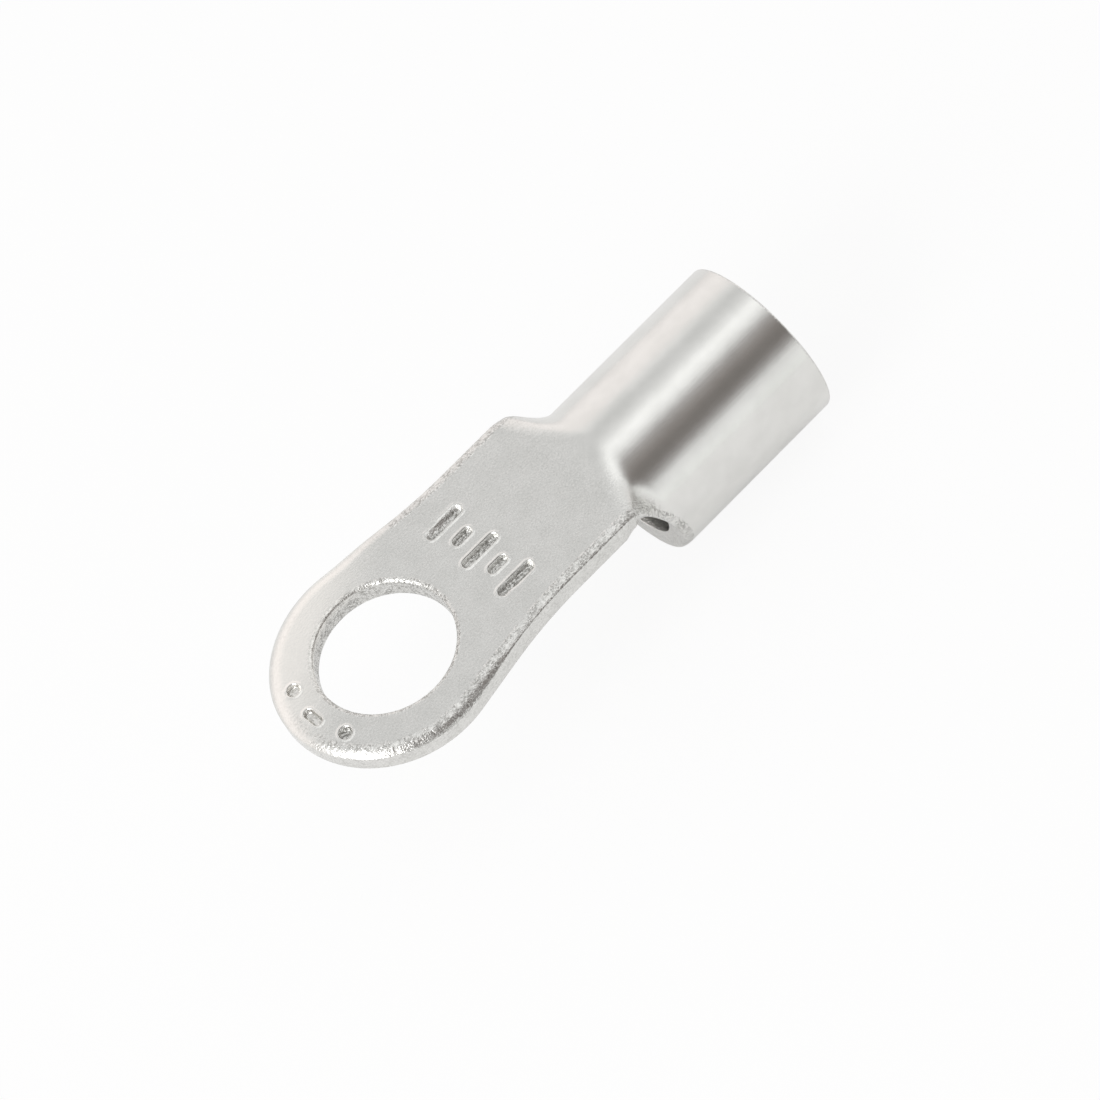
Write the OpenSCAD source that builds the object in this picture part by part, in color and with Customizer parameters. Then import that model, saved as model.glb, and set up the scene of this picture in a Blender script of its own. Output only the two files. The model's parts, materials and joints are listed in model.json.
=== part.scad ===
// Uninsulated ring terminal for a stranded copper cable, pressed from one tinned copper sheet.
// A flat ring takes the stud, and the sides of the tongue curl down into a closed barrel.
// Origin: centre of the stud hole, on the flat back face. +Z points out of that face and
// +X runs along the barrel, which hangs below the face. Millimetres.

/* [Ring] */
// Diameter of the stud hole
hole_d = 8.4; // [5.3:0.1:8.6]
// Outer diameter of the ring round the hole
ring_d = 13.6; // [13.4:0.1:15]
// Distance from the hole's centre to the ring's own centre, toward the tip
ring_shift = 0.2; // [0:0.05:0.4]

/* [Tongue] */
// Width between the straight sides of the tongue
tongue_w = 11.15; // [10.6:0.05:11.4]
// Angle at which the sides leave the ring
taper_a = 10.4; // [9:0.2:14]
// Radius of the hollow curve that leads from the taper to the straight side
side_r = 30; // [10:1:32]
// Distance from the hole's centre to the front of the barrel
reach = 17; // [16.6:0.1:22]

/* [Sheet] */
// Thickness of the sheet
sheet_t = 1.4; // [1:0.05:1.6]
// Width of the rounding that the punch leaves along the edges of the back face
roll_w = 0.45; // [0.2:0.05:0.6]
// Depth of that rounding
roll_h = 0.25; // [0.1:0.05:0.4]

/* [Barrel] */
// Outer diameter of the barrel
barrel_d = 10.8; // [10.2:0.1:12]
// Length of the barrel
barrel_l = 12; // [8:0.5:16]
// Height of the barrel's back above the flat back face
barrel_rise = 0.42; // [0:0.02:0.6]
// Width of the brazed seam along the underside of the barrel
seam_w = 0.5; // [0.2:0.1:0.8]
// Depth of the hollow left along the seam
seam_h = 0.12; // [0.05:0.01:0.2]

/* [Neck] */
// Distance before the barrel at which the sides begin to curl down
curl_l = 3.3; // [3:0.1:4.4]
// How the flat middle narrows: 1 is a straight V, and more is a hollow V
curl_p = 1.9; // [1.3:0.05:2.2]
// Radius of the soft bend between the flat middle and the curl
lead_r = 12; // [8:0.5:16]
// Angle turned by that soft bend where the curl begins
lead_a = 25; // [10:1:30]
// Distance before the barrel at which the sides begin to widen into it
shoulder_l = 2.6; // [2:0.1:2.8]
// Angle from the barrel's back down to where the neck's edge runs into the barrel's rim
neck_a = 104; // [92:1:112]

/* [Marks] */
// Depth of the stamped marks
mark_h = 0.15; // [0.05:0.01:0.3]
// Width of a stamped stroke
stroke_w = 0.48; // [0.3:0.02:0.6]
// Length of the long bars on the tongue
bar_l = 2.6; // [1.6:0.1:3]
// Spacing of the bars across the tongue
bar_gap = 1.5; // [1.2:0.05:1.6]
// Distance from the hole's centre to the middle of the bars
bar_x = 7.7; // [7.6:0.1:9]

/* [Hidden] */
eps = 0.01;
// Steps along the ring's edge, the hollow side, the curl before the shoulder, the shoulder and the
// rounding, and across half the sheet
ring_n = 24;
side_n = 5;
curl_n = 5;
neck_n = 14;
roll_n = 4;
row_n = 14;
// Depth by which the neck's skin lies inside the barrel's skin where they meet
tuck = 0.02;

hole_r = hole_d / 2;
ring_r = ring_d / 2;
half_w = tongue_w / 2;
barrel_r = barrel_d / 2;
bore_r = barrel_r - sheet_t;
axis_z = barrel_rise - barrel_r;
curl_x = reach - curl_l;
shoulder_x = reach - shoulder_l;
neck_s = barrel_r * neck_a * PI / 180;
ring_cx = -ring_shift;
// The taper leaves the ring square to its radius, and the hollow curve ends on the straight side at side_x
taper_x = ring_cx + ring_r * sin(taper_a);
taper_y = ring_r * cos(taper_a);
side_x = taper_x + side_r * sin(taper_a)
       + (taper_y - half_w - side_r * (1 - cos(taper_a))) / tan(taper_a);

function smooth(u) = let (v = min(1, max(0, u))) v * v * (3 - 2 * v);
// Half the width of the flat middle of the sheet, zero where the barrel's section is round
function flat_w(x) = half_w * pow(1 - min(1, max(0, (x - curl_x) / curl_l)), curl_p);
// Height of the middle of the sheet, which steps up a little to the barrel's back
function back_z(x) = barrel_rise * smooth((x - curl_x) / curl_l);
// Bends the flat blank: a point at x along it, s across it and d below the back face.
// Across the sheet comes a flat, a soft arc of lead_r and then an arc of the barrel's radius.
function bend(x, s, d) =
    let (side = sign(s),
         flat = x > curl_x ? flat_w(x) : abs(s),
         lead = lead_a * min(1, flat / half_w),
         lead_s = lead_r * lead * PI / 180,
         past = max(0, abs(s) - flat),
         in_lead = past < lead_s,
         turn = in_lead ? past / lead_r * 180 / PI : lead + (past - lead_s) / barrel_r * 180 / PI,
         soft = min(turn, lead),
         y = min(abs(s), flat) + lead_r * sin(soft) + barrel_r * (sin(turn) - sin(soft)),
         z = -lead_r * (1 - cos(soft)) - barrel_r * (cos(soft) - cos(turn)))
    [x, side * (y - d * sin(turn)), back_z(x) + z - d * cos(turn)];

// Edge of the blank from the tip to the barrel: x, s and the outward direction in the sheet
tip_step = (90 + taper_a) / (ring_n + 0.5);
ring_edge = [for (i = [0:ring_n]) let (a = 180 - (i + 0.5) * tip_step)
    [ring_cx + ring_r * cos(a), ring_r * sin(a), cos(a), sin(a)]];
side_edge = [for (i = [0:side_n]) let (b = taper_a * (1 - i / side_n))
    [side_x - side_r * sin(b), half_w + side_r * (1 - cos(b)), sin(b), cos(b)]];
// The curl starts on the straight side, and the shoulder is a quarter ellipse that ends along the rim
curl_edge = [for (i = [0:curl_n - 1]) [curl_x + (shoulder_x - curl_x) * i / curl_n, half_w, 0, 1]];
shoulder_edge = [for (i = [0:neck_n]) let (t = 90 * i / neck_n)
    [shoulder_x + shoulder_l * sin(t), half_w + (neck_s - half_w) * (1 - cos(t)), 0, 1]];
neck_edge = concat(curl_edge, shoulder_edge);
edge = concat(ring_edge, side_edge, neck_edge);

// Profile of the edge: distance inward and depth, from the flat face round to the cut side's foot
edge_roll = [for (k = [0:roll_n]) let (t = 90 * k / roll_n) [roll_w * (1 - sin(t)), roll_h * (1 - cos(t))]];
edge_form = concat(edge_roll, [[0, sheet_t]]);
form_n = len(edge_form);

// Points of the skin at one station: both sides' edge profiles, then the rows across both faces
function at_edge(e, side, form) =
    let (deep = min(max(form[1], hide(e)), sheet_t - hide(e)))
    bend(e[0] - e[2] * form[0], side * (e[1] - e[3] * form[0]), deep);
function hide(e) = e[0] > reach - eps ? tuck : 0;
function station(e) = concat(
    [for (side = [1, -1], form = edge_form) at_edge(e, side, form)],
    [for (j = [1 - row_n:row_n - 1]) bend(e[0], (e[1] - roll_w) * j / row_n, hide(e))],
    [for (j = [1 - row_n:row_n - 1]) bend(e[0], e[1] * j / row_n, sheet_t - hide(e))]);

// Ring, tongue and neck: the flat blank with its rounded edges, bent into its final form
module sheet() {
    last = len(edge) - 1;
    flat_n = len(edge) - len(neck_edge);
    row = 2 * row_n - 1;
    size = 2 * form_n + 2 * row;
    foot = form_n - 1;
    // Numbers of the points: r is the left or right edge profile, t the back face and b the front face
    function r(i, side, k) = i * size + (side > 0 ? 0 : form_n) + k;
    function t(i, j) = abs(j) == row_n ? r(i, j, 0) : i * size + 2 * form_n + j + row_n - 1;
    function b(i, j) = abs(j) == row_n ? r(i, j, foot) : i * size + 2 * form_n + row + j + row_n - 1;
    function quad(p, q, u, v) = [[p, q, u], [p, u, v]];
    left = [for (i = [0:last - 1], k = [0:form_n - 2])
        each quad(r(i, 1, k), r(i + 1, 1, k), r(i + 1, 1, k + 1), r(i, 1, k + 1))];
    right = [for (i = [0:last - 1], k = [0:form_n - 2])
        each quad(r(i, -1, k), r(i, -1, k + 1), r(i + 1, -1, k + 1), r(i + 1, -1, k))];
    tip = [for (k = [0:form_n - 2]) each quad(r(0, 1, k), r(0, 1, k + 1), r(0, -1, k + 1), r(0, -1, k))];
    // The flat faces run in strips, and their last strip fans out to the neck's first row
    flat_back = [for (i = [0:flat_n - 2])
        each quad(r(i, -1, 0), r(i + 1, -1, 0), r(i + 1, 1, 0), r(i, 1, 0))];
    flat_front = [for (i = [0:flat_n - 2])
        each quad(r(i, -1, foot), r(i, 1, foot), r(i + 1, 1, foot), r(i + 1, -1, foot))];
    fan_back = concat([r(flat_n - 1, -1, 0)], [for (j = [-row_n:row_n]) t(flat_n, j)], [r(flat_n - 1, 1, 0)]);
    fan_front = concat([r(flat_n - 1, 1, foot)], [for (j = [row_n:-1:-row_n]) b(flat_n, j)],
                       [r(flat_n - 1, -1, foot)]);
    neck_back = [for (i = [flat_n:last - 1], j = [-row_n:row_n - 1])
        each quad(t(i, j), t(i + 1, j), t(i + 1, j + 1), t(i, j + 1))];
    neck_front = [for (i = [flat_n:last - 1], j = [-row_n:row_n - 1])
        each quad(b(i, j), b(i, j + 1), b(i + 1, j + 1), b(i + 1, j))];
    tail = [for (j = [1 - row_n:row_n - 2])
        each quad(t(last, j + 1), t(last, j), b(last, j), b(last, j + 1))];
    tail_left = concat([b(last, row_n - 1)], [for (k = [foot:-1:0]) r(last, 1, k)], [t(last, row_n - 1)]);
    tail_right = concat([b(last, 1 - row_n), t(last, 1 - row_n)], [for (k = [0:foot]) r(last, -1, k)]);
    // Faces above run anticlockwise seen from outside, and polyhedron() takes them clockwise
    faces = concat(left, right, tip, flat_back, flat_front, [fan_back, fan_front], neck_back, neck_front,
                   tail, [tail_left, tail_right]);
    polyhedron(points = [for (e = edge) each station(e)],
               faces = [for (f = faces) [for (n = [len(f) - 1:-1:0]) f[n]]]);
}

// Stands its children on the barrel's front plane with their Z axis along the barrel's axis
module about_barrel() {
    translate([reach, 0, axis_z]) rotate([0, 90, 0]) children();
}

// Barrel without its bore, with the punch's rounding at the rear end of its skin
module barrel_blank() {
    rear = [for (p = edge_roll) [barrel_r - p[1], barrel_l - p[0]]];
    about_barrel() rotate_extrude($fn = 96) polygon(concat([[0, 0], [barrel_r, 0]], rear, [[0, barrel_l]]));
}

// The same rounding at the front end, on the part of the rim that the neck leaves free
module front_cut() {
    free_a = neck_a + 3;
    skin = [for (k = [0:roll_n]) [barrel_r - edge_roll[k][1], edge_roll[k][0]]];
    about_barrel() rotate(180 + free_a) rotate_extrude(angle = 360 - 2 * free_a, $fn = 96)
        polygon(concat([[barrel_r + 1, roll_w]], skin, [[barrel_r - roll_h, -1], [barrel_r + 1, -1]]));
}

// A stamped bar with round ends
module stroke(length) {
    flat = (length - stroke_w) / 2;
    polygon([for (end = [1, -1], a = [-90:18:90])
        [end * (flat + stroke_w / 2 * cos(a)), end * stroke_w / 2 * sin(a)]]);
}

// Plain stamped bars and dots, without any letter or figure
module marks() {
    mark_r = (hole_r + ring_r + ring_shift) / 2;
    for (i = [-2:2]) translate([bar_x, i * bar_gap]) stroke(i % 2 == 0 ? bar_l : bar_l / 2);
    for (a = [-24, 24]) rotate(180 + a) translate([mark_r, 0]) circle(d = stroke_w * 1.4, $fn = 24);
    translate([-mark_r, 0]) rotate(90) stroke(bar_l / 2);
}

// The hole's wall, opened at the back face by the punch's rounding
module hole_cut() {
    lip = [for (k = [roll_n:-1:0]) [hole_r + edge_roll[k][0], -edge_roll[k][1]]];
    rise = 2 * lip[roll_n] - lip[roll_n - 1];
    rotate_extrude($fn = 96)
        polygon(concat([[0, -sheet_t - 1], [hole_r, -sheet_t - 1]], lip, [rise, [0, rise[1]]]));
}

module terminal() {
    color([0.78, 0.79, 0.77]) difference() {
        union() {
            sheet();
            barrel_blank();
        }
        about_barrel() cylinder(h = barrel_l + 1, r = bore_r, $fn = 96);
        front_cut();
        translate([reach - 1, -seam_w / 2, axis_z - barrel_r - 1]) cube([barrel_l + 2, seam_w, 1 + seam_h]);
        hole_cut();
        translate([0, 0, -mark_h]) linear_extrude(height = 1) marks();
    }
}

terminal();
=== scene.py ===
"""An uninsulated ring terminal of tinned copper, dressed over its CAD frame. +X runs along its barrel."""
import json
import math
import bpy
import numpy as np
from mathutils import Matrix, Vector


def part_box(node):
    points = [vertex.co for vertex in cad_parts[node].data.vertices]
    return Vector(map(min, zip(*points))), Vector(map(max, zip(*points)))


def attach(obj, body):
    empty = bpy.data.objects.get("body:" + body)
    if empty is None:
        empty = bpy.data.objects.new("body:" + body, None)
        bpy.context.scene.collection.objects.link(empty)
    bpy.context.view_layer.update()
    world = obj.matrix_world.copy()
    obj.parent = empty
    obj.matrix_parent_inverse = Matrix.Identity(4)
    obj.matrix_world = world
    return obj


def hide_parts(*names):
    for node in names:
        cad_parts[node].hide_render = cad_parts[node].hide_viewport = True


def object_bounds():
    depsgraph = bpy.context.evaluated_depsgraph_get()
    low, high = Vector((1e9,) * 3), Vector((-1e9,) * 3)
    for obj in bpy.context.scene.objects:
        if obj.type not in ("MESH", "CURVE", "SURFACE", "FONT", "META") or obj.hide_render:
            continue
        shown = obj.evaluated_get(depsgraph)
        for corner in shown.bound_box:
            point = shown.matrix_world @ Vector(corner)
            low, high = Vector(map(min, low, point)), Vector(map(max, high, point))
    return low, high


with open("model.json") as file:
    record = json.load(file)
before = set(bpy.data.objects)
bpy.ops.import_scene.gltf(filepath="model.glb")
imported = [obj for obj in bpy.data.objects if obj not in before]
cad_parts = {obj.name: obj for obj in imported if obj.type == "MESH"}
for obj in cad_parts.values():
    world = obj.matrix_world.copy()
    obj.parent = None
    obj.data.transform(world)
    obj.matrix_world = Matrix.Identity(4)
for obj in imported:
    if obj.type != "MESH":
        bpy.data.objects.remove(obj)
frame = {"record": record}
cad_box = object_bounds()
scene = bpy.context.scene
scene.view_settings.view_transform = "Standard"

# ---- Camera --------------------------------------------------------------------------------
# A long lens looks down on the flat back face from one side, a little toward the tip, and it is
# rolled so that the barrel points to the upper right of the picture.
AZIMUTH = math.radians(-110.19)
ELEVATION = math.radians(55.12)
ROLL = math.radians(28.23)
DISTANCE = 0.28933
AIM = Vector((0.01018, -0.00330, 0.0))

toward = Vector((math.cos(ELEVATION) * math.cos(AZIMUTH), math.cos(ELEVATION) * math.sin(AZIMUTH),
                 math.sin(ELEVATION)))
level = Vector((0.0, 0.0, 1.0)).cross(toward).normalized()
upright = toward.cross(level)
right = level * math.cos(ROLL) - upright * math.sin(ROLL)
up = upright * math.cos(ROLL) + level * math.sin(ROLL)
camera_data = bpy.data.cameras.new("camera")
camera_data.sensor_width = 36.0
camera_data.lens = 170.2
camera_data.clip_start = 0.01
camera = bpy.data.objects.new("camera", camera_data)
scene.collection.objects.link(camera)
turned = Matrix((right, up, toward)).transposed().to_4x4()
camera.matrix_world = Matrix.Translation(AIM + toward * DISTANCE) @ turned
scene.camera = camera


# ---- Light tent ----------------------------------------------------------------------------
# The terminal lies in a white cloth tent. Its walls shade off slowly round the barrel's axis,
# and the slit that the lens looks through shows in the metal as one dark band.
class Wire:
    """A node socket that takes part in Python sums and products, each of which adds a Math node."""

    def __init__(self, tree, socket=None):
        self.tree = tree
        self.socket = socket

    def node(self, kind, settings=None, inputs=None, out=0):
        """Adds a node: its settings first, then its sockets' values or links. Gives one output."""
        made = self.tree.nodes.new(kind)
        for name, value in (settings or {}).items():
            if name == "stops":
                stops = made.color_ramp.elements
                while len(stops) < len(value):
                    stops.new(0.5)
                for stop, (place, colour) in zip(stops, value):
                    stop.position, stop.color = place, (*colour, 1.0)
            else:
                setattr(made, name, value)
        for name, value in (inputs or {}).items():
            if isinstance(value, Wire):
                self.tree.links.new(value.socket, made.inputs[name])
            else:
                made.inputs[name].default_value = value
        return Wire(self.tree, made.outputs[out] if made.outputs else None)

    def maths(self, operation, *terms):
        return self.node("ShaderNodeMath", {"operation": operation}, dict(enumerate(terms)))

    def __add__(self, other):
        return self.maths("ADD", self, other)

    def __sub__(self, other):
        return self.maths("SUBTRACT", self, other)

    def __rsub__(self, other):
        return self.maths("SUBTRACT", other, self)

    def __mul__(self, other):
        return self.maths("MULTIPLY", self, other)

    def __truediv__(self, other):
        return self.maths("DIVIDE", self, other)

    __radd__ = __add__
    __rmul__ = __mul__

    def rise(self, low, high):
        """Goes smoothly from 0 at low to 1 at high."""
        return self.node("ShaderNodeMapRange", {"interpolation_type": "SMOOTHSTEP"},
                         {"Value": self, "From Min": low, "From Max": high})


def empty_tree(owner):
    """Clears the shader tree of a world or a material and gives a wire that adds nodes to it."""
    owner.use_nodes = True
    owner.node_tree.nodes.clear()
    return Wire(owner.node_tree)


COOL, PLAIN, WARM, DIM = (0.98, 1.0, 0.975), (1.0, 1.0, 1.0), (1.04, 1.0, 0.99), (1.09, 1.0, 0.95)
# Degrees round the barrel's axis from the slit, the wall's brightness there and its tint
WALLS = [(-180, 0.42, COOL), (-122, 0.60, COOL), (-92, 0.98, COOL), (-60, 1.00, COOL), (-46, 0.95, PLAIN),
         (-36, 0.84, PLAIN), (-27, 0.38, WARM), (-18, 0.19, DIM), (-8, 0.185, DIM), (2, 0.27, DIM),
         (13, 0.41, WARM), (24, 0.98, PLAIN), (36, 1.26, PLAIN), (49, 0.85, PLAIN), (59, 0.71, PLAIN),
         (67, 0.69, PLAIN), (75, 0.86, PLAIN), (86, 0.98, WARM), (108, 1.03, WARM), (124, 0.89, WARM),
         (150, 0.48, PLAIN), (180, 0.42, COOL)]
world = bpy.data.worlds.new("light_tent")
scene.world = world
tent = empty_tree(world)
way = tent.node("ShaderNodeTexCoord")
way_y = tent.node("ShaderNodeSeparateXYZ", {}, {"Vector": way}, out=1)
way_z = tent.node("ShaderNodeSeparateXYZ", {}, {"Vector": way}, out=2)
slit = math.atan2(toward.y, toward.z)
around = tent.maths("ARCTAN2", way_y * math.cos(slit) - way_z * math.sin(slit),
                    way_z * math.cos(slit) + way_y * math.sin(slit))
stops = [(0.5 + angle / 360.0, tuple(bright * part for part in tint)) for angle, bright, tint in WALLS]
cloth = tent.node("ShaderNodeValToRGB", {"stops": stops}, {"Fac": around / (2.0 * math.pi) + 0.5})
glow = tent.node("ShaderNodeBackground", {}, {"Color": cloth})
tent.node("ShaderNodeOutputWorld", {}, {"Surface": glow})

# ---- Floor ---------------------------------------------------------------------------------
# A sheet of white card lies just under the barrel. It glows, most of all to the lens and a
# little in the metal, so that it shows near white and still takes the terminal's soft shadow.
FLOOR_SIZE = 0.8
FLOOR_GAP = 0.00005
LENS_WHITE, MIRROR_WHITE = 0.90, 0.30
floor_z = cad_box[0][2] - FLOOR_GAP
floor_mesh = bpy.data.meshes.new("white_card")
floor_mesh.from_pydata([(x * FLOOR_SIZE / 2, y * FLOOR_SIZE / 2, floor_z)
                        for x, y in ((-1, -1), (1, -1), (1, 1), (-1, 1))], [], [(0, 1, 2, 3)])
floor = bpy.data.objects.new("white_card", floor_mesh)
scene.collection.objects.link(floor)
card_material = bpy.data.materials.new("white_card")
card = empty_tree(card_material)
lens_ray = card.node("ShaderNodeLightPath", out="Is Camera Ray")
mirror_ray = card.node("ShaderNodeLightPath", out="Is Glossy Ray")
dull = card.node("ShaderNodeBsdfDiffuse", {}, {"Color": (0.9, 0.9, 0.9, 1.0)})
white = card.node("ShaderNodeEmission", {}, {"Color": (1.0, 1.0, 1.0, 1.0)})
glowing = lens_ray * LENS_WHITE + mirror_ray * MIRROR_WHITE
paper = card.node("ShaderNodeMixShader", {}, {"Fac": glowing, 1: dull, 2: white})
card.node("ShaderNodeOutputMaterial", {}, {"Surface": paper})
floor_mesh.materials.append(card_material)

# ---- Lamp ----------------------------------------------------------------------------------
# One soft box stands beyond the tip, out of the flat's and the barrel's mirror directions. It
# brings the floor up to white and catches the rounding round the tip.
LAMP_WAY = Vector((-0.84, -0.22, 0.50)).normalized()
LAMP_DISTANCE = 0.6
lamp_data = bpy.data.lights.new("soft_box", "AREA")
lamp_data.size = 0.3
lamp_data.energy = 1.7
lamp = bpy.data.objects.new("soft_box", lamp_data)
scene.collection.objects.link(lamp)
facing = LAMP_WAY.to_track_quat("Z", "Y").to_matrix().to_4x4()
lamp.matrix_world = Matrix.Translation(AIM + LAMP_WAY * LAMP_DISTANCE) @ facing

# ---- Terminal ------------------------------------------------------------------------------
# One piece of copper sheet, tinned all over. A punch cuts the blank and the stud hole and
# rounds the edges of the back face, and a die then curls the neck and rolls the barrel shut.
MM = 0.001
mounts = {mount["name"]: mount for mount in frame["record"]["mounts"]}
box_low, box_high = (Vector(corner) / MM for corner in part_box("terminal"))
hole_r = mounts["stud_hole"]["dims"]["r_mm"]
bore_r = mounts["cable_barrel"]["dims"]["r_mm"]
sheet_t = (mounts["back_face"]["pos_m"][2] - mounts["front_face"]["pos_m"][2]) / MM
barrel_r = bore_r + sheet_t
barrel_rise = mounts["cable_barrel"]["pos_m"][2] / MM + barrel_r
reach = box_high.x - mounts["cable_barrel"]["dims"]["length_mm"]
ring_r = box_high.y
# The blank, in millimetres: its ring, its hollow sides, and the neck with its shoulders
RING_SHIFT = 0.2
HALF_W = 5.575
TAPER = math.radians(10.4)
SIDE_R = 30.0
CURL_L, CURL_P = 3.3, 1.9
LEAD_R, LEAD_A = 12.0, math.radians(25.0)
SHOULDER_L = 2.6
NECK_S = barrel_r * math.radians(104.0)
curl_x = reach - CURL_L
shoulder_x = reach - SHOULDER_L
# The punch draws the back face down in a wide arc to a tilt, and then in a tight one of LIP_R
LIP_R, FOOT_R = 0.14, 0.06
RING_ROUND, FAR_ROUND, HOLE_ROUND, SIDE_ROUND, END_ROUND = 1.0, 1.15, 0.34, 1.3, 0.14
RING_TILT, SIDE_TILT = math.radians(52.0), math.radians(25.0)
# It also draws down the ring's far side and tip, from DRAWN_FROM outward along DRAWN_WAY
DRAWN_WAY = (-0.55, 0.83)
DRAWN_FROM, DRAWN_BY = 1.0, 0.012
# The ring's own roundings and dome fade out along the tongue over this stretch
FADE_X, FADE_L = 1.0, 4.5
# Stamps: bars of two lengths across the tongue, and one short bar between two dots by the tip
STROKE, STAMP_WALL, STAMP_DEEP, STAMP_LIP = 0.26, 0.11, 0.30, 0.05
LONG_BAR, SHORT_BAR, BAR_X, BAR_GAP = 1.3, 0.65, 7.7, 1.5
DOT_A, DOT_R = math.radians(24.0), 0.364
# The shoulder was crushed against the barrel about this spot of the blank
CRUSH_X, CRUSH_S = 15.4, 5.9
SEAM_W, SEAM_H = 0.25, 0.12
# The net over the blank is parted just past the hole and near the end of the shoulder
SPLIT_X, SPLIT_A = 5.6, 64.0
# How coarse the tin lies down a cut edge: on its two arcs and on its straight side and foot
SIDE_PITS = np.concatenate([np.linspace(0.8, 0.5, 9), np.linspace(0.5, 0.25, 5), np.full(8, 0.25)])[1:-1]
# Swaps an outline point's sides: its x, its s and its outward direction
FLIP = np.array([1.0, -1.0, 1.0, -1.0])


def smooth(u):
    """Smooth step from 0 to 1."""
    u = np.clip(u, 0.0, 1.0)
    return u * u * (3.0 - 2.0 * u)


def drawn(x, s):
    """How far out a point lies toward the far side and the tip, past DRAWN_FROM."""
    return DRAWN_WAY[1] * s + DRAWN_WAY[0] * x - DRAWN_FROM


def bend(x, s, d):
    """Bends the flat blank, where x lies along it, s across it and d below the back face.
    Across the sheet come a flat that narrows by a power of the way along the neck, a soft arc of
    LEAD_R and an arc of the barrel's radius. The middle rises to the barrel's back by a smooth step."""
    u = np.clip((x - curl_x) / CURL_L, 0.0, 1.0)
    flat = np.where(u > 0.0, HALF_W * (1.0 - u) ** CURL_P, np.abs(s))
    lead = LEAD_A * np.minimum(1.0, flat / HALF_W)
    past = np.maximum(0.0, np.abs(s) - flat)
    turn = np.where(past < LEAD_R * lead, past / LEAD_R, lead + (past - LEAD_R * lead) / barrel_r)
    soft = np.minimum(turn, lead)
    y = np.minimum(np.abs(s), flat) + LEAD_R * np.sin(soft) + barrel_r * (np.sin(turn) - np.sin(soft))
    z = -LEAD_R * (1.0 - np.cos(soft)) - barrel_r * (np.cos(soft) - np.cos(turn))
    z = z + barrel_rise * smooth(u)
    return np.stack([x, np.sign(s) * (y - d * np.sin(turn)), z - d * np.cos(turn)], axis=-1)


def dome(x, s, d):
    """The bent blank, drawn down by the square of the way out past DRAWN_FROM. The drop fades along
    the tongue, and with depth, so that the front face stays level."""
    drop = DRAWN_BY * np.maximum(0.0, drawn(x, s)) ** 2 * (1.0 - smooth((x - FADE_X) / FADE_L))
    return bend(x, s, d + drop * (1.0 - d / sheet_t))


def runs(start, *spans):
    """Even steps between the given ends: each span is where it ends and how many steps it takes."""
    ends = [start] + [end for end, _ in spans]
    parts = [np.linspace(a, b, count + 1)[1:] for a, b, (_, count) in zip(ends, ends[1:], spans)]
    return np.concatenate([[start]] + parts)


def arc(centre_x, centre_s, radius, angles, outward):
    """Points on an arc at the given angles in degrees, as x, s and the direction out of the sheet."""
    c, v = np.cos(np.radians(angles)), np.sin(np.radians(angles))
    return np.stack([centre_x + radius * c, centre_s + radius * v, outward * c, outward * v], axis=-1)


def shoulder(angles):
    """A quarter ellipse from the straight side, where the angle is 0, to the barrel's rim at 90."""
    c, v = np.cos(np.radians(angles)), np.sin(np.radians(angles))
    grow = NECK_S - HALF_W
    size = np.hypot(grow * v, SHOULDER_L * c)
    return np.stack([shoulder_x + SHOULDER_L * v, HALF_W + grow * (1.0 - c),
                     -grow * v / size, SHOULDER_L * c / size], axis=-1)


# Half the outline of the blank, from the tip to the seam: the ring's arc, its tangent, the hollow
# side, the straight side, the shoulder and the barrel's rim
taper_x = -RING_SHIFT + ring_r * math.sin(TAPER)
taper_s = ring_r * math.cos(TAPER)
side_s = HALF_W + SIDE_R
side_x = taper_x + SIDE_R * math.sin(TAPER) + (
    taper_s - HALF_W - SIDE_R * (1.0 - math.cos(TAPER))) / math.tan(TAPER)
split_a = 270.0 - math.degrees(math.asin((side_x - SPLIT_X) / SIDE_R))
end_a = 90.0 - math.degrees(TAPER)
round_tip = arc(-RING_SHIFT, 0.0, ring_r, runs(180.0, (146.0, 56), (end_a, 36)), 1.0)
hollow = arc(side_x, side_s, SIDE_R, runs(180.0 + end_a, (split_a, 4)), -1.0)
taper = round_tip[-1] + (hollow[0] - round_tip[-1]) * np.linspace(0.0, 1.0, 15)[1:-1, None]
ring_edge = np.concatenate([round_tip, taper, hollow])
hollow = arc(side_x, side_s, SIDE_R, runs(split_a, (270.0, 66)), -1.0)
straight_x = runs(side_x, (curl_x, 10), (shoulder_x, 14))[1:-1]
straight = np.stack([straight_x, np.full_like(straight_x, HALF_W),
                     np.zeros_like(straight_x), np.ones_like(straight_x)], axis=-1)
tongue_edge = np.concatenate([hollow, straight, shoulder(runs(0.0, (SPLIT_A, 42)))])
rim_s = runs(NECK_S, (math.pi * barrel_r - 0.6, 34), (math.pi * barrel_r, 12))[1:]
rim = np.stack([np.full_like(rim_s, reach), rim_s, -np.ones_like(rim_s), np.zeros_like(rim_s)], axis=-1)
barrel_edge = np.concatenate([shoulder(runs(SPLIT_A, (90.0, 16))), rim])
# Steps across the tongue, as a share of its half width, finer along its sides
across = runs(1.0, (0.62, 12), (-0.62, 112), (-1.0, 12))


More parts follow.
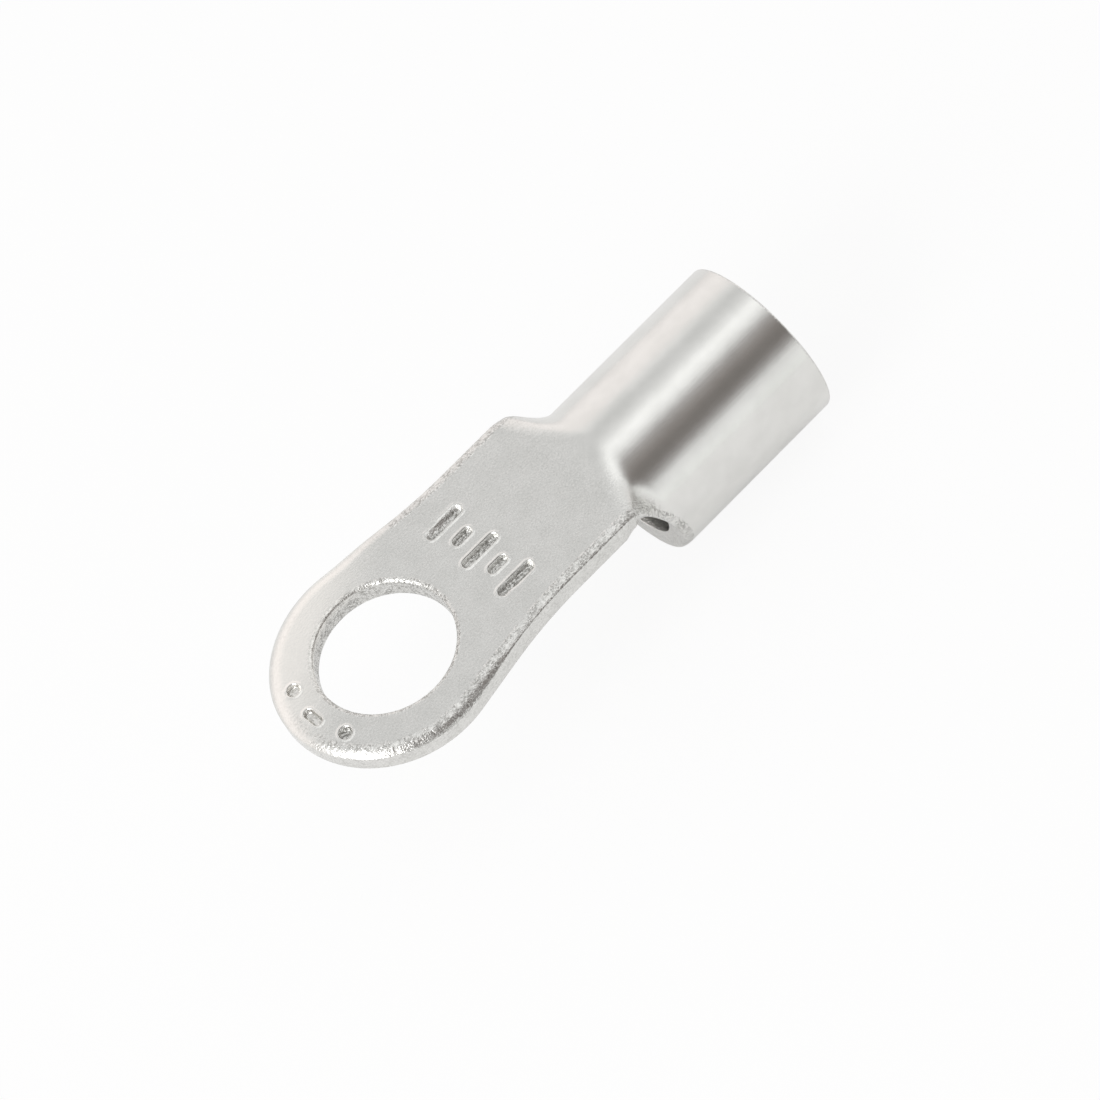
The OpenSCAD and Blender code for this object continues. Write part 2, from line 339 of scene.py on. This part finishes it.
def edge_form(radius, tilt):
    """Profile of a punched edge as distance inward and depth below the back face, for one radius and
    tilt or for arrays of them: an arc of the radius to the tilt, an arc of LIP_R that turns it square,
    the straight cut side, and an arc of FOOT_R at its foot."""
    radius = np.asarray(radius, dtype=float)[..., None]
    tilt = np.asarray(tilt, dtype=float)[..., None]
    wide = tilt * np.linspace(0.0, 1.0, 9)
    tight = tilt + (math.pi / 2 - tilt) * np.linspace(0.0, 1.0, 6)[1:]
    foot = np.linspace(0.0, math.pi / 2, 4)[1:] + 0.0 * tilt
    lip = radius * (1.0 - np.cos(tilt)) + LIP_R * np.cos(tilt)
    cut = lip + (sheet_t - FOOT_R - lip) * np.linspace(0.0, 1.0, 6)[1:]
    inward = [radius * (np.sin(tilt) - np.sin(wide)) + LIP_R * (1.0 - np.sin(tilt)),
              LIP_R * (1.0 - np.sin(tight)), 0.0 * cut, FOOT_R * (1.0 - np.cos(foot))]
    depth = [radius * (1.0 - np.cos(wide)), lip - LIP_R * np.cos(tight), cut,
             sheet_t - FOOT_R * (1.0 - np.sin(foot))]
    return np.stack([np.concatenate(inward, axis=-1), np.concatenate(depth, axis=-1)], axis=-1)


def drawn_form(edge):
    """Profiles along the outline: wide and steep round the ring, widest on its far side, and a
    gentler slope beside the tongue."""
    beside = smooth((edge[:, 0] - FADE_X) / FADE_L)
    radius = RING_ROUND + (FAR_ROUND - RING_ROUND) * smooth(0.5 + edge[:, 1] / 6.0)
    return edge_form(radius + (SIDE_ROUND - radius) * beside, RING_TILT + (SIDE_TILT - RING_TILT) * beside)


def edge_skin(edge, form):
    """Carries a profile along an outline: each point steps in from the outline against its outward
    direction, and down by its depth."""
    place = edge[:, None, :2] - edge[:, None, 2:] * form[..., :1]
    return place[..., 0], place[..., 1], np.broadcast_to(form[..., 1], place.shape[:2])


def row_skin(edge, inset, depth, across):
    """Straight rows across the sheet, each from one side's inset edge to the other's."""
    place = edge[:, :2] - edge[:, 2:] * np.reshape(inset, (-1, 1))
    x = np.repeat(place[:, :1], len(across), axis=1)
    return x, place[:, 1:] * across[None, :], np.full(x.shape, depth)


def stamped(x, s):
    """Depth of the stamped bars and dots, and how coarse the tin lies in them. The distance to the
    nearest stroke's middle line, less half the stroke's width, gives a trough with soft walls, and
    the metal that it pushes out as a lip."""
    bars = []
    for k, half in enumerate((LONG_BAR, SHORT_BAR, LONG_BAR, SHORT_BAR, LONG_BAR)):
        beyond = np.maximum(0.0, np.abs(x - BAR_X) - half + STROKE)
        bars.append(np.hypot(beyond, s - BAR_GAP * (k - 2)) - STROKE)
    mark_r = (hole_r + ring_r + RING_SHIFT) / 2
    dots = np.hypot(x + mark_r * math.cos(DOT_A), np.abs(s) - mark_r * math.sin(DOT_A)) - DOT_R
    tip_bar = np.hypot(x + mark_r, np.maximum(0.0, np.abs(s) - SHORT_BAR + STROKE)) - STROKE
    near = np.minimum.reduce([*bars, dots, tip_bar])
    lip = STAMP_LIP * smooth(1.0 - np.abs(near - STAMP_WALL) / STAMP_WALL)
    return STAMP_DEEP * smooth(0.5 - near / STAMP_WALL) - lip, smooth((0.10 - near) / 0.15)


def pitting(x, s, inward):
    """How coarse the tin lies, from 0 to 1: coarse within a few tenths of a millimetre of the near
    punched edge, and where the shoulder was crushed against the barrel; fine on the rest of the
    flat, and smooth on the barrel."""
    edge = smooth((0.75 - inward) / 0.5) * (0.2 + 0.6 * smooth(0.5 - s / 6.0))
    crushed = smooth((1.6 - np.hypot(x - CRUSH_X, np.abs(s) - CRUSH_S)) / 1.4)
    return np.maximum.reduce([edge, crushed, 0.12 * smooth((reach - x) / 3.0)])


def net(grid, closed, turned_round, skip=None):
    """Quads over a grid of points whose second direction is a closed loop. The first direction may
    close too, skip leaves quads out, and turned_round reverses the way the quads face."""
    rows, loop = grid.shape[:2]
    m, n = np.meshgrid(np.arange(rows if closed else rows - 1), np.arange(loop), indexing="ij")
    m1, n1 = (m + 1) % rows, (n + 1) % loop
    quads = np.stack([m * loop + n, m * loop + n1, m1 * loop + n1, m1 * loop + n], axis=-1)
    if skip is not None:
        quads = quads[~skip(m, n)]
    quads = quads.reshape(-1, 4)
    return quads[:, ::-1] if turned_round else quads


def ring_net():
    """Loops through the ring's section, one for each ray from the hole to the outline, or to the
    tongue's first row, where the ring has no cut side. Gives points, coarseness and quads."""
    form = drawn_form(tongue_edge[:1])
    top_row = np.stack(row_skin(tongue_edge[:1], form[:, 0, 0], 0.0, across)[:2], axis=-1)[0, 1:-1]
    low_row = np.stack(row_skin(tongue_edge[:1], form[:, -1, 0], 0.0, across)[:2], axis=-1)[0, 1:-1]
    join = np.repeat(ring_edge[-1:], len(top_row), axis=0)
    outline = np.concatenate([ring_edge, join, (ring_edge * FLIP)[:0:-1]])
    middle = slice(len(ring_edge), len(ring_edge) + len(join))
    form = drawn_form(outline)
    top_end = outline[:, :2] - outline[:, 2:] * form[:, :1, 0]
    low_end = outline[:, :2] - outline[:, 2:] * form[:, -1:, 0]
    top_end[middle] = top_row
    low_end[middle] = low_row
    ray = top_end / np.linalg.norm(top_end, axis=1, keepdims=True)

    hole_form = edge_form(HOLE_ROUND, RING_TILT)
    share = runs(0.0, (0.25, 4), (0.97, 20), (1.0, 1))[None, :, None]
    flat = ray[:, None] * (hole_r + hole_form[0, 0]) * (1.0 - share) + top_end[:, None] * share
    depth, marked = stamped(flat[..., 0], flat[..., 1])
    top = dome(flat[..., 0], flat[..., 1], depth)
    side = dome(*edge_skin(outline, form[:, 1:-1]))
    share = np.linspace(1.0, 0.0, 8)[None, :, None]
    under = ray[:, None] * (hole_r + FOOT_R) * (1.0 - share) + low_end[:, None] * share
    low = bend(under[..., 0], under[..., 1], np.full(under.shape[:2], sheet_t))
    wall = dome(*edge_skin(np.concatenate([ray * hole_r, -ray], axis=1), hole_form[None, -2:0:-1]))
    grid = np.concatenate([top, side, low, wall], axis=1)

    to_hole = np.linalg.norm(flat, axis=-1) - hole_r
    to_edge = np.linalg.norm(flat - top_end[:, None], axis=-1) + form[:, :1, 0]
    to_edge[middle] = np.inf
    in_hole = smooth((0.36 - to_hole) / 0.3) * (0.2 + 0.8 * smooth(0.5 + flat[..., 1] / 5.0))
    top_pits = np.maximum.reduce([marked, in_hole, pitting(flat[..., 0], flat[..., 1], to_edge)])
    side_pits = SIDE_PITS * (0.3 + 0.7 * smooth(0.5 - outline[:, 1:2] / 6.0))
    pits = np.concatenate([top_pits, side_pits, np.full(low.shape[:2], 0.3), np.full(wall.shape[:2], 0.8)],
                          axis=1)

    def joined(m, n):
        """The quads of the cut side that the tongue takes the place of."""
        in_row = (m >= middle.start - 1) & (m < middle.stop)
        return in_row & (n >= top.shape[1] - 1) & (n < top.shape[1] + side.shape[1])

    return grid, pits, net(grid, True, True, joined)


def tongue_net():
    """Loops round the whole section of the tongue and the neck, one for each step along the outline.
    Gives points, coarseness and quads."""
    form = drawn_form(tongue_edge)
    x, s, _ = row_skin(tongue_edge, form[:, 0, 0], 0.0, across)
    depth, marked = stamped(x, s)
    top = bend(x, s, depth)
    right = bend(*edge_skin(tongue_edge * FLIP, form[:, 1:-1]))
    low = bend(*row_skin(tongue_edge, form[:, -1, 0], sheet_t, across[::-1]))
    left = bend(*edge_skin(tongue_edge, form[:, -2:0:-1]))
    grid = np.concatenate([top, right, low, left], axis=1)
    inward = np.abs(s[:, :1]) - np.abs(s) + form[:, :1, 0]
    side_pits = np.tile(SIDE_PITS, (len(tongue_edge), 1))
    pits = np.concatenate([np.maximum(marked, pitting(x, s, inward)), side_pits,
                           np.full(low.shape[:2], 0.3), side_pits[:, ::-1]], axis=1)
    return grid, pits, net(grid, False, False)


def barrel_net():
    """Loops through the barrel's wall, one for each step round from the seam, where its groove runs
    along and out through both ends. Gives points, coarseness and quads."""
    ones = np.ones_like(across)
    shared = tongue_edge[-1] * np.stack([ones, across, ones, across], axis=-1)
    start = np.concatenate([(barrel_edge * FLIP)[:0:-1], shared[::-1], barrel_edge[1:-1]])
    groove = SEAM_H * smooth(1.0 - (math.pi * barrel_r - np.abs(start[:, 1:2])) / SEAM_W)
    front_form = edge_form(SIDE_ROUND, SIDE_TILT)
    rear_form = edge_form(END_ROUND, RING_TILT)
    along = np.linspace(0.0, 1.0, 22)[None, :]

    def lengthwise(step, depth, along):
        """Straight lines along the barrel, between the same step of its front and rear profiles."""
        place = start[:, :2] - start[:, 2:] * front_form[step, 0]
        x = place[:, :1] * (1.0 - along) + (box_high.x - rear_form[step, 0]) * along
        return x, np.repeat(place[:, 1:], along.shape[1], axis=1), np.broadcast_to(depth, x.shape)

    def open_end(edge, form):
        """The barrel's rolled edge and end face, with the groove run out through it."""
        x, s, depth = edge_skin(edge, form[None])
        return bend(x, s, np.maximum(depth, groove))

    rear_s = start[:, 1] - start[:, 3] * front_form[0, 0]
    rear_edge = np.stack([np.full(len(start), box_high.x), rear_s, np.ones(len(start)),
                          np.zeros(len(start))], axis=-1)
    x, s, depth = lengthwise(0, groove, along)
    outer = bend(x, s, depth)
    rear = open_end(rear_edge, rear_form[1:-1])
    inner = bend(*lengthwise(-1, sheet_t, along[:, ::-1]))
    front = open_end(start, front_form[-2:0:-1])
    grid = np.concatenate([outer, rear, inner, front], axis=1)
    side_pits = np.tile(SIDE_PITS, (len(start), 1))
    pits = np.concatenate([pitting(x, s, np.full(x.shape, np.inf)), 0.4 * side_pits,
                           np.full(inner.shape[:2], 0.45), side_pits[:, ::-1]], axis=1)

    def joined(m, n):
        """The quads of the front end that the neck takes the place of."""
        in_row = (m >= len(barrel_edge) - 1) & (m < len(barrel_edge) + len(across) - 2)
        return in_row & (n >= grid.shape[1] - front.shape[1] - 1)

    return grid, pits, net(grid, True, False, joined)


# The three nets share their border points, which are joined, and quads that close up go
nets = [ring_net(), tongue_net(), barrel_net()]
points = np.concatenate([grid.reshape(-1, 3) for grid, _, _ in nets])
pits = np.concatenate([part.ravel() for _, part, _ in nets])
offsets = np.cumsum([0] + [part.size for _, part, _ in nets])
quads = np.concatenate([part + offset for (_, _, part), offset in zip(nets, offsets)])
_, first, number = np.unique(np.round(points * 2000.0).astype(np.int64), axis=0,
                             return_index=True, return_inverse=True)
points = np.clip(points[first], box_low, box_high)
quads = number.reshape(-1)[quads]
terminal_mesh = bpy.data.meshes.new("tinned_terminal")
terminal_mesh.from_pydata(points * MM, [], [[v for k, v in enumerate(quad) if v != quad[k - 1]]
                                            for quad in quads.tolist() if len(set(quad)) > 2])
terminal_mesh.shade_smooth()
terminal_mesh.attributes.new("pitting", "FLOAT", "POINT").data.foreach_set("value", pits[first])
# Painted highlight: a mask for a whiter sheen on the back face toward the ring's far side and tip. It stands
# in for light falling there.
painted_sheen_values = smooth(drawn(points[:, 0], points[:, 1]) / 4.0) * smooth((points[:, 2] + 0.65) / 0.3)
terminal_mesh.attributes.new("whiteness", "FLOAT", "POINT").data.foreach_set("value", painted_sheen_values)
terminal = bpy.data.objects.new("tinned_terminal", terminal_mesh)
scene.collection.objects.link(terminal)

# Tin lies on the copper as a satin skin with a fine grain, and it stands in beads and pits along
# the punched edges and in the bore. A painted sheen makes the back face whiter, with fewer pits,
# toward the ring's far side and tip, and the rolling of the sheet leaves faint lines along it.
tin_material = bpy.data.materials.new("tin_plate")
tin = empty_tree(tin_material)
place = tin.node("ShaderNodeTexCoord", out="Object")
pit = tin.node("ShaderNodeAttribute", {"attribute_name": "pitting"}, out="Fac")
# The painted sheen's mask, as the mesh carries it
painted_sheen = tin.node("ShaderNodeAttribute", {"attribute_name": "whiteness"}, out="Fac")


def grain(size, detail=2.0, stretch=1.0):
    """Noise from 0 to 1 with cells of the given size in millimetres, drawn out along the sheet."""
    where = tin.node("ShaderNodeMapping", {}, {"Vector": place, "Scale": (1.0 / stretch, 1.0, 1.0)})
    return tin.node("ShaderNodeTexNoise", {}, {"Vector": where, "Scale": 1.0 / (size * MM), "Detail": detail,
                                               "Roughness": 0.6})


def blend(share, one, two):
    """A colour that goes from one to two with the share. A Mix node's colours are its sockets 6 and 7."""
    return tin.node("ShaderNodeMix", {"data_type": "RGBA"}, {"Factor": share, 6: one, 7: two}, out=2)


beads = grain(0.14)
fine = grain(0.10, 3.0)
cloud = grain(1.8)
lines = grain(0.16, 2.0, 14.0)
# The tin is given fewer pits where the painted sheen lies.
rough_tin = pit * grain(0.5).rise(0.25, 0.60) * (1.0 - painted_sheen * 0.6)
speck = (fine.rise(0.30, 0.70) - 0.5) * pit.rise(-0.05, 0.12)
height = rough_tin * (beads.rise(0.3, 0.7) * 0.9 + fine * 0.4) + speck * 0.10 + lines * 0.05 + cloud * 0.3
bump = tin.node("ShaderNodeBump", {}, {"Strength": 1.0, "Distance": 0.03 * MM, "Height": height},
                out="Normal")
patchy = cloud.rise(0.3, 0.7) * 0.3 + 0.35 + speck * 0.60
satin = blend(patchy, (0.715, 0.715, 0.69, 1.0), (0.86, 0.857, 0.835, 1.0))
# Painted highlight: the tin's colour turns whiter and warmer over the painted sheen's mask.
with_painted_sheen = blend(painted_sheen * 0.85, satin, (0.93, 0.915, 0.875, 1.0))
pitted = blend(rough_tin * beads.rise(0.60, 0.38) * 0.85, with_painted_sheen, (0.20, 0.195, 0.18, 1.0))
metal = tin.node("ShaderNodeBsdfPrincipled", {}, {
    "Base Color": pitted, "Metallic": 1.0, "Roughness": 0.17 + fine * 0.05 + pit * 0.10, "Normal": bump})
tin.node("ShaderNodeOutputMaterial", {}, {"Surface": metal})
terminal_mesh.materials.append(tin_material)
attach(terminal, "root")
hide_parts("terminal")
